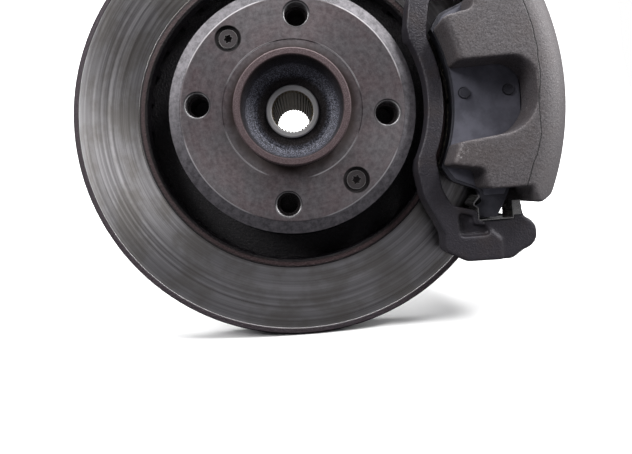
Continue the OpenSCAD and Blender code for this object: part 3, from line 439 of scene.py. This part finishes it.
relief = wires.math("ADD", wires.math("ADD", cast_height, groove_height),
                    wires.math("ADD", edge_fall, fine_height))
disc_shader = shade(wires, colour, rough_all, metal, relief, 0.45, Anisotropic=0.8)
around = wires.put("ShaderNodeTangent", direction_type="RADIAL", axis="Y")
wires.plug(disc_shader.inputs["Tangent"], around.outputs[0])
dress(disc_material, nodes["brake_disc"])

# %% [markdown]
# ## The hub
#
# The hub is a forging. Its centring ring was turned, then went pinkish brown; the
# hollow in it was blasted and is speckled; only the face round the splines is
# bare, where the drive shaft's nut rubs. Oil and dust tint the spline grooves.

# %% Radii and depths of the hub's zones, in millimetres
CUP_RADIUS, BOSS_RADIUS, SPLINE_RADIUS = 28.4, 15.45, 12.75
RING_FRONT, JOURNAL_START = -7.2, 18.5
FILLET_IN, FILLET_OUT = 20.5, 27.2
print("machined ring round the splines:", SPLINE_RADIUS, "to", BOSS_RADIUS, "mm")

# %% Zones of the hub
hub_material, wires, place = new_material("forged hub")
spot = place_group(wires, "turned place", Vector=place)
radius, depth = spot["Radius"], spot["Depth"]
grain = place_group(wires, "cast grain", Vector=place, Scale=2.4)
grooves = place_group(wires, "turned grooves", Radius=radius, Angle=spot["Angle"], Pitch=1.8)
ring = wires.math("MULTIPLY", wires.step(radius, CUP_RADIUS - 0.2, CUP_RADIUS + 0.2),
                  wires.step(depth, 1.0, 0.0))
front_ring = wires.math("MULTIPLY", ring, wires.step(depth, RING_FRONT + 0.2, RING_FRONT - 0.2))
boss = wires.math("MULTIPLY", wires.step(radius, BOSS_RADIUS + 0.15, BOSS_RADIUS - 0.15),
                  wires.between(depth, 4.0, 7.2, 0.1))
splines = wires.math("MULTIPLY", wires.step(radius, SPLINE_RADIUS + 0.15, SPLINE_RADIUS - 0.15),
                     wires.step(depth, 7.2, 7.5))
fillet = wires.math("MULTIPLY", wires.between(radius, FILLET_IN, FILLET_OUT, 1.6),
                    wires.step(depth, -7, 2))
journal = wires.step(depth, JOURNAL_START, JOURNAL_START + 0.5)

# %% Finish of the hub
specks = wires.step(wires.noise(place, 1.6 / MM, 3, 0.8), 0.46, 0.62)
blasted = wires.mix(specks, (0.01, 0.007, 0.007), (0.05, 0.042, 0.045))
blasted = wires.mix(fillet, blasted, wires.mix(specks, (0.025, 0.025, 0.033), (0.25, 0.255, 0.32)))
ring_side = wires.mix(specks, (0.03, 0.02, 0.02), (0.1, 0.072, 0.072))
ring_face = wires.mix(specks, (0.1, 0.068, 0.072), (0.18, 0.138, 0.144))
scratched = wires.mix(grooves["Streak"], (0.45, 0.44, 0.44), (0.9, 0.88, 0.88))
oiled = wires.mix(grain["Cloud"], (0.06, 0.045, 0.03), (0.3, 0.26, 0.18))
ground = wires.mix(grooves["Streak"], (0.4, 0.4, 0.4), (0.55, 0.55, 0.54))
colour = wires.mix(ring, blasted, ring_side)
colour = wires.mix(front_ring, colour, ring_face)
colour = wires.mix(journal, colour, ground)
colour = wires.mix(splines, colour, oiled)
colour = wires.mix(boss, colour, scratched)
metal = wires.math("MAXIMUM", wires.math("MULTIPLY", front_ring, 0.4),
                   wires.math("MULTIPLY", boss, 0.7))
metal = wires.math("MAXIMUM", metal, wires.math("MAXIMUM", splines, journal))
metal = wires.math("MAXIMUM", metal, 0.35)
rough = wires.mix(boss, wires.mix(front_ring, (0.5,) * 3, (0.45,) * 3), (0.3,) * 3)
relief = wires.mix(boss, grain["Height"], wires.math("MULTIPLY", grooves["Height"], 0.3))
shade(wires, colour, rough, metal, relief, 0.12)
dress(hub_material, nodes["wheel_hub"])

# %% [markdown]
# ## Castings
#
# Caliper and carrier are cast in sand: every corner has a radius of a millimetre
# or two and the skin is grainy. Bevelling hundreds of crossing edges would be
# fragile, so a copy of each exact shape is remeshed into even small cells and
# smoothed, which rounds all corners alike. Bores that were drilled after casting
# are then pushed back to their true radius, so pistons and pins still fit.

# %% Turn an exact shape into a casting
def merged_copy(name, node):
    """A new piece with a CAD node's shape, its loose triangles joined."""
    mesh = nodes[node].data.copy()
    mesh.name = name
    shape = bmesh.new()
    shape.from_mesh(mesh)
    bmesh.ops.remove_doubles(shape, verts=shape.verts, dist=0.001 * MM)
    shape.to_mesh(mesh)
    shape.free()
    piece = bpy.data.objects.new(name, mesh)
    bpy.context.scene.collection.objects.link(piece)
    return piece


def soften(piece, cell, passes):
    """Remeshes a piece into cells of one size, then smooths its corners."""
    remesh = piece.modifiers.new("even cells", "REMESH")
    remesh.mode = "VOXEL"
    remesh.voxel_size = cell
    shown = piece.evaluated_get(bpy.context.evaluated_depsgraph_get())
    mesh = bpy.data.meshes.new_from_object(shown)
    piece.modifiers.clear()
    piece.data = mesh
    shape = bmesh.new()
    shape.from_mesh(mesh)
    for _ in range(passes):
        bmesh.ops.smooth_vert(shape, verts=shape.verts, factor=0.5,
                              use_axis_x=True, use_axis_y=True, use_axis_z=True)
    for face in shape.faces:
        face.smooth = True
    shape.to_mesh(mesh)
    shape.free()
    print(piece.name, "has", len(mesh.polygons), "faces")


def true_bore(piece, centre_x, centre_z, bore_radius, from_y, to_y):
    """Moves the wall of a drilled hole back to its true radius."""
    reach = 1.3 * MM
    moved = 0
    for vertex in piece.data.vertices:
        if not from_y < vertex.co.y < to_y:
            continue
        offset = Vector((vertex.co.x - centre_x, vertex.co.z - centre_z))
        if abs(offset.length - bore_radius) < reach:
            offset *= (bore_radius + 0.05 * MM) / offset.length
            vertex.co.x = centre_x + offset.x
            vertex.co.z = centre_z + offset.y
            moved += 1
    print(piece.name, "bore trued at", moved, "points")


# %% Where the drilled holes lie
piston_low, piston_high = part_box("piston")
piston_x = (piston_low.x + piston_high.x) / 2
piston_radius = (piston_high.x - piston_low.x) / 2
pins_low, pins_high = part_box("guide_pins")
PIN_HEAD_RADIUS = 8.2 * MM
pin_x = (pins_low.x + pins_high.x) / 2
pin_z = pins_high.z - PIN_HEAD_RADIUS
CYLINDER_FROM, CYLINDER_TO = 62 * MM, 97 * MM
ARM_HOLE_RADIUS, ARM_FROM, ARM_TO = 4.05 * MM, 74.5 * MM, 84.5 * MM
PIN_HOLE_RADIUS, PIN_HOLE_TO = 4.95 * MM, 61 * MM
PIN_TRAVEL = 3.6 * MM
print("piston axis", round(piston_x / MM, 2), "pin axes", round(pin_x / MM, 2), round(pin_z / MM, 2))

# %% Caliper casting
CALIPER_CELL = 1.0 * MM
caliper = merged_copy("caliper_casting", "caliper_body")
soften(caliper, CALIPER_CELL, 4)
true_bore(caliper, piston_x, 0, piston_radius + 0.05 * MM, CYLINDER_FROM, CYLINDER_TO)
for side in (-1, 1):
    true_bore(caliper, pin_x, side * pin_z, ARM_HOLE_RADIUS, ARM_FROM, ARM_TO)
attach(caliper, "caliper")
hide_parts("caliper_body")

# %% Carrier casting
CARRIER_CELL = 0.9 * MM
carrier = merged_copy("carrier_casting", "carrier")
soften(carrier, CARRIER_CELL, 2)
for side in (-1, 1):
    true_bore(carrier, pin_x, side * pin_z, PIN_HOLE_RADIUS, pins_low.y - PIN_TRAVEL, PIN_HOLE_TO)
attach(carrier, "carrier")
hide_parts("carrier")

# %% [markdown]
# ## Finish of the castings
#
# The caliper was blasted and coated, then road dust and heat took the shine off:
# a warm grey with light specks, paler on the outer shoulder. A thin dark line
# runs along it where the two halves of the mould met. The carrier is darker and
# bluer, with its edges rubbed pale.

# %% Caliper skin
PARTING_RADIUS = 134.9
SHOULDER_FROM, SHOULDER_TO = 128, 145
caliper_material, wires, place = new_material("caliper casting skin")
spot = place_group(wires, "turned place", Vector=place)
grain = place_group(wires, "cast grain", Vector=place, Scale=1.15)
wear = place_group(wires, "edge wear", Vector=place, Width=1.2 * MM, Broken_Up=0.5)["Mask"]
stain = place_group(wires, "stains", Vector=place, Scale=0.07, Amount=0.45)
scuff = place_group(wires, "scuffs", Vector=place, Scale=0.075, Amount=0.4)["Mask"]
fine = wires.noise(place, 1.1 / MM, 6, 0.8)
base = wires.mix(wires.step(fine, 0.3, 0.7), (0.04, 0.034, 0.037), (0.14, 0.127, 0.134))
base = wires.mix(wires.math("MULTIPLY", stain["Mask"], 0.5), base, (0.085, 0.068, 0.066))
shoulder = wires.step(spot["Radius"], SHOULDER_FROM, SHOULDER_TO)
base = wires.mix(wires.math("MULTIPLY", shoulder, 0.45), base, (0.24, 0.225, 0.23))
pale = wires.math("MULTIPLY", grain["Speckle"], wires.step(shoulder, 0, 1, 0.3, 0.75))
base = wires.mix(pale, base, (0.4, 0.38, 0.385))
base = wires.mix(wires.math("MULTIPLY", wear, 0.3), base, (0.36, 0.345, 0.35))
base = wires.mix(wires.math("MULTIPLY", scuff, 0.55), base, (0.6, 0.58, 0.58))
wave = wires.noise(place, 0.03 / MM, 2, 0.5)
line_radius = wires.math("ADD", spot["Radius"], wires.math("MULTIPLY", wave, 9.0))
parting = wires.between(line_radius, PARTING_RADIUS - 0.3, PARTING_RADIUS + 0.3, 0.18)
parting = wires.math("MULTIPLY", parting, wires.step(spot["Depth"], -8, -12))
base = wires.mix(wires.math("MULTIPLY", parting, 0.9), base, (0.01, 0.01, 0.01))
rough = wires.step(grain["Speckle"], 0, 1, 0.6, 0.48)
relief = wires.math("SUBTRACT", grain["Height"], wires.math("MULTIPLY", parting, 0.7))
shade(wires, base, rough, 0.3, relief, 0.2)
dress(caliper_material, caliper)

# %% Carrier skin
carrier_material, wires, place = new_material("carrier casting skin")
grain = place_group(wires, "cast grain", Vector=place, Scale=1.5)
wear = place_group(wires, "edge wear", Vector=place, Width=1.5 * MM, Broken_Up=0.45)["Mask"]
stain = place_group(wires, "stains", Vector=place, Scale=0.08, Amount=0.4)
scuff = place_group(wires, "scuffs", Vector=place, Scale=0.09, Amount=0.34)["Mask"]
fine = wires.noise(place, 1.1 / MM, 6, 0.8)
base = wires.mix(fine, (0.01, 0.009, 0.013), (0.062, 0.056, 0.068))
base = wires.mix(wires.math("MULTIPLY", stain["Mask"], 0.4), base, (0.055, 0.04, 0.036))
base = wires.mix(wires.math("MULTIPLY", grain["Speckle"], 0.2), base, (0.12, 0.11, 0.12))
base = wires.mix(wires.math("MULTIPLY", wear, 0.25), base, (0.16, 0.155, 0.165))
base = wires.mix(wires.math("MULTIPLY", scuff, 0.3), base, (0.26, 0.25, 0.26))
shade(wires, base, wires.step(grain["Speckle"], 0, 1, 0.5, 0.4), 0.35, grain["Height"], 0.3)
dress(carrier_material, carrier)

# %% [markdown]
# ## Rubber bellows
#
# Each guide pin slides through a short bellows, and a wider one closes the gap
# round the piston. They are moulded rubber: turned shapes with soft folds. A wavy
# outline spun round the axis gives the folds directly, and the closed section
# gives the wall its thickness.

# %% Spin a bellows
def bellows(name, centre, lip_radius, fold_radius, from_y, to_y, folds, wall):
    """Bellows round a line along Y, made by spinning one closed section."""
    shape = bmesh.new()
    steps = folds * 8
    outer, inner = [], []
    for i in range(steps + 1):
        share = i / steps
        swell = 0.5 - 0.5 * math.cos(2 * math.pi * folds * share)
        y = from_y + (to_y - from_y) * share
        r = lip_radius + wall + (fold_radius - lip_radius - wall) * swell
        outer.append(shape.verts.new((centre.x + r, y, centre.y)))
        inner.append(shape.verts.new((centre.x + r - wall, y, centre.y)))
    section = outer + inner[::-1]
    edges = [shape.edges.new((section[i - 1], section[i])) for i in range(len(section))]
    bmesh.ops.spin(shape, geom=section + edges, cent=(centre.x, 0, centre.y), axis=(0, 1, 0),
                   angle=2 * math.pi, steps=64, use_merge=True)
    bmesh.ops.remove_doubles(shape, verts=shape.verts, dist=0.001 * MM)
    bmesh.ops.recalc_face_normals(shape, faces=shape.faces)
    for face in shape.faces:
        face.smooth = True
    return shape


def keep_piece(name, shapes):
    """Joins finished bmeshes into one piece of the scene."""
    mesh = bpy.data.meshes.new(name)
    whole = bmesh.new()
    for shape in shapes:
        part = bpy.data.meshes.new("part")
        shape.to_mesh(part)
        whole.from_mesh(part)
        shape.free()
        bpy.data.meshes.remove(part)
    whole.to_mesh(mesh)
    whole.free()
    piece = bpy.data.objects.new(name, mesh)
    bpy.context.scene.collection.objects.link(piece)
    print(name, "has", len(mesh.polygons), "faces")
    return piece


# %% Bellows of the guide pins
boots_low, boots_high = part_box("pin_boots")
boot_radius = (boots_high.x - boots_low.x) / 2
pin_bellows = keep_piece("pin_bellows", [
    bellows("pin", Vector((pin_x, side * pin_z)), 5.1 * MM, boot_radius,
            boots_low.y, boots_high.y, 2, 0.9 * MM)
    for side in (-1, 1)])
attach(pin_bellows, "carrier")
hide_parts("pin_boots")
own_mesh(pin_bellows)

# %% Bellows of the piston
seat_low, seat_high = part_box("dust_boot")
piston_bellows = keep_piece("piston_bellows", [
    bellows("piston", Vector((piston_x, 0)), piston_radius + 0.1 * MM,
            (seat_high.x - seat_low.x) / 2, seat_low.y, seat_high.y, 2, 0.8 * MM)])
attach(piston_bellows, "caliper")
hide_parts("dust_boot")
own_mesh(piston_bellows)

# %% Rubber
rubber_material, wires, place = new_material("dusty rubber")
stain = place_group(wires, "stains", Vector=place, Scale=0.2, Amount=0.5)
colour = wires.mix(stain["Mask"], (0.012, 0.012, 0.012), (0.05, 0.045, 0.04))
shade(wires, colour, wires.step(stain["Fine"], 0.3, 0.7, 0.5, 0.7), 0.0, stain["Fine"], 0.06)
dress(rubber_material, pin_bellows, piston_bellows, nodes["piston_seal"], nodes["bleed_cap"])

# %% [markdown]
# ## Pads, shims and clips
#
# A backing plate is stamped steel with a dark powder coat, which is slightly
# wavy like orange peel. The shim glued on it is smoother. The lining is a pressed
# mix of fibre, metal chips and graphite, so it is dull and full of specks. The
# clips are bare spring steel with fine rolling marks.

# %% Coated plates and shims
def coated(name, dark, light, rough, peel_mm):
    """Powder coat over pressed steel, chipped along its edges."""
    material, wires, place = new_material(name)
    stain = place_group(wires, "stains", Vector=place, Scale=0.09, Amount=0.5)
    wear = place_group(wires, "edge wear", Vector=place, Width=0.7 * MM, Broken_Up=0.5)["Mask"]
    peel = wires.noise(place, 0.9 / MM, 2, 0.5)
    colour = wires.mix(stain["Mask"], dark, light)
    colour = wires.mix(wires.math("MULTIPLY", wear, 0.5), colour, (0.32, 0.32, 0.34))
    roughness = wires.step(stain["Fine"], 0.3, 0.7, rough, rough + 0.12)
    shade(wires, colour, roughness, wires.step(wear, 0, 1, 0.35, 0.9), peel, peel_mm)
    return material


dress(coated("powder coat", (0.05, 0.05, 0.062), (0.08, 0.08, 0.098), 0.38, 0.08),
      nodes["outer_plate"], nodes["inner_plate"])
dress(coated("shim coat", (0.13, 0.13, 0.16), (0.18, 0.18, 0.22), 0.36, 0.05),
      nodes["outer_shim"], nodes["inner_shim"])

# %% Friction lining
lining_material, wires, place = new_material("friction lining")
grain = place_group(wires, "cast grain", Vector=place, Scale=1.8)
chips = wires.put("ShaderNodeTexVoronoi", {"Vector": place, "Scale": 0.7 / MM}).outputs["Color"]
chip = wires.step(wires.put("ShaderNodeSeparateColor", {0: chips}).outputs[0], 0.86, 0.9)
colour = wires.mix(grain["Cloud"], (0.02, 0.017, 0.017), (0.045, 0.039, 0.037))
colour = wires.mix(wires.math("MULTIPLY", chip, 0.7), colour, (0.3, 0.27, 0.2))
shade(wires, colour, 0.85, wires.math("MULTIPLY", chip, 0.6), grain["Height"], 0.2)
dress(lining_material, nodes["outer_lining"], nodes["inner_lining"])

# %% Bright spring steel
spring_material, wires, place = new_material("spring steel")
marks = wires.put("ShaderNodeMapping", {0: place, "Scale": (900, 60, 900)}).outputs[0]
rolled = wires.noise(marks, 1.0, 4, 0.6)
stain = place_group(wires, "stains", Vector=place, Scale=0.25, Amount=0.35)
colour = wires.mix(rolled, (0.3, 0.295, 0.285), (0.75, 0.74, 0.72))
colour = wires.mix(wires.math("MULTIPLY", stain["Mask"], 0.5), colour, (0.2, 0.17, 0.14))
shade(wires, colour, wires.step(rolled, 0.3, 0.7, 0.22, 0.36), 1.0, rolled, 0.02)
dress(spring_material, nodes["clips_outboard"], nodes["clips_inboard"], nodes["inner_spring"])

# %% [markdown]
# ## Pins, bolts, screws and piston
#
# Pins and bolts are zinc plated, the bleed screw is passivated yellow, the disc
# screws are plain and dull, and the piston is ground and hard. All are steel
# with turning marks, so one recipe serves, with its own colours each time.

# %% Turned steel in several platings
def turned_steel(name, dark, light, rough, dirt, centre_x=0.0):
    """Bare or plated steel with turning marks and dirt in its corners."""
    material, wires, place = new_material(name)
    spot = place_group(wires, "turned place", Vector=place, Centre_X=centre_x)
    grooves = place_group(wires, "turned grooves", Radius=spot["Depth"], Angle=spot["Angle"],
                          Pitch=1.2)
    stain = place_group(wires, "stains", Vector=place, Scale=0.22, Amount=0.42)
    wear = place_group(wires, "edge wear", Vector=place, Width=0.4 * MM, Broken_Up=0.4)["Mask"]
    colour = wires.mix(grooves["Streak"], dark, light)
    colour = wires.mix(wires.math("MULTIPLY", stain["Mask"], dirt), colour, (0.07, 0.055, 0.045))
    colour = wires.mix(wires.math("MULTIPLY", wear, 0.6), colour, (0.6, 0.59, 0.58))
    roughness = wires.step(stain["Fine"], 0.3, 0.7, rough, rough + 0.15)
    shade(wires, colour, roughness, 0.9, grooves["Height"], 0.03)
    return material


dress(turned_steel("zinc plating", (0.42, 0.42, 0.4), (0.62, 0.61, 0.57), 0.3, 0.4),
      nodes["guide_pins"], nodes["guide_bolts"])
dress(turned_steel("yellow passivation", (0.5, 0.4, 0.2), (0.68, 0.58, 0.34), 0.32, 0.3),
      nodes["bleed_screw"])
dress(turned_steel("dull screw steel", (0.06, 0.052, 0.056), (0.13, 0.118, 0.122), 0.42, 0.5),
      nodes["disc_screws"])
dress(turned_steel("ground piston steel", (0.55, 0.54, 0.52), (0.72, 0.71, 0.69), 0.16, 0.2,
                   piston_x / MM),
      nodes["piston"])

# %% [markdown]
# ## Floor and light
#
# The brake stands on a pale floor that curves up into a backdrop, so no line
# shows behind it. The light is soft: a large panel overhead, one at the left that
# streaks across the swept band, one high in front at the right that models the
# caliper, and a weak one for its outer shoulder. A fifth faces the backdrop only.
# Metal shows what surrounds it, so the room and the floor are dark to every ray
# but the camera's own, and the panels alone draw the reflections.

# %% Floor with a curved backdrop
FLOOR_HALF, BEND, WALL_TOP = 1.5, 0.6, 2.4
floor_z = cad_box[0][2] - 0.5 * MM
shape = bmesh.new()
path = [(-1.0, 0.0), (1.0, 0.0)]
path += [(1.0 + BEND * math.sin(t), BEND * (1 - math.cos(t)))
         for t in (math.radians(a) for a in range(15, 91, 15))]
path += [(1.0 + BEND, WALL_TOP)]
row = [shape.verts.new((-FLOOR_HALF, y, floor_z + z)) for y, z in path]
edges = [shape.edges.new(pair) for pair in zip(row, row[1:])]
made = bmesh.ops.extrude_edge_only(shape, edges=edges)["geom"]
moved = [item for item in made if isinstance(item, bmesh.types.BMVert)]
bmesh.ops.translate(shape, verts=moved, vec=(2 * FLOOR_HALF, 0, 0))
for face in shape.faces:
    face.smooth = True
floor = keep_piece("floor", [shape])
floor_material, wires, place = new_material("pale floor")
cloud = wires.noise(place, 2.0, 2, 0.5)
pale = wires.mix(cloud, (0.92, 0.92, 0.92), (0.96, 0.96, 0.96))
seen = wires.put("ShaderNodeLightPath").outputs["Is Camera Ray"]
shade(wires, wires.mix(seen, (0.06, 0.06, 0.065), pale), 0.8, 0.0)
dress(floor_material, floor)

# %% Soft panels of light
def panel(name, place, size, watts, target=(0.0, 0.0, -0.02)):
    """A square soft light that looks at a point."""
    light = bpy.data.lights.new(name, "AREA")
    light.shape = "SQUARE"
    light.size = size
    light.energy = watts
    lamp = bpy.data.objects.new(name, light)
    lamp.location = place
    lamp.rotation_euler = (Vector(target) - Vector(place)).to_track_quat("-Z", "Y").to_euler()
    bpy.context.scene.collection.objects.link(lamp)
    return lamp


panel("overhead", (0.0, 0.1, 1.3), 1.6, 34)
panel("left", (-0.8, -0.55, 0.66), 0.55, 12)
panel("front_key", (0.75, -0.62, 1.0), 0.3, 13)
panel("right", (0.95, -0.3, 0.35), 0.4, 6)
panel("backdrop", (0.0, 0.6, 0.95), 1.7, 80, target=(0.0, 1.6, 0.85))

# %% A dark room that looks white to the camera
world = bpy.data.worlds.new("room")
world.use_nodes = True
wires = Wires(world.node_tree)
seen = wires.put("ShaderNodeLightPath").outputs["Is Camera Ray"]
room = wires.mix(seen, (0.06, 0.06, 0.066), (1.0, 1.0, 1.0))
wires.plug(world.node_tree.nodes["Background"].inputs["Color"], room)
bpy.context.scene.world = world
bpy.context.scene.view_settings.view_transform = "Standard"

# %% Sizes and finish
print("solid model", cad_box)
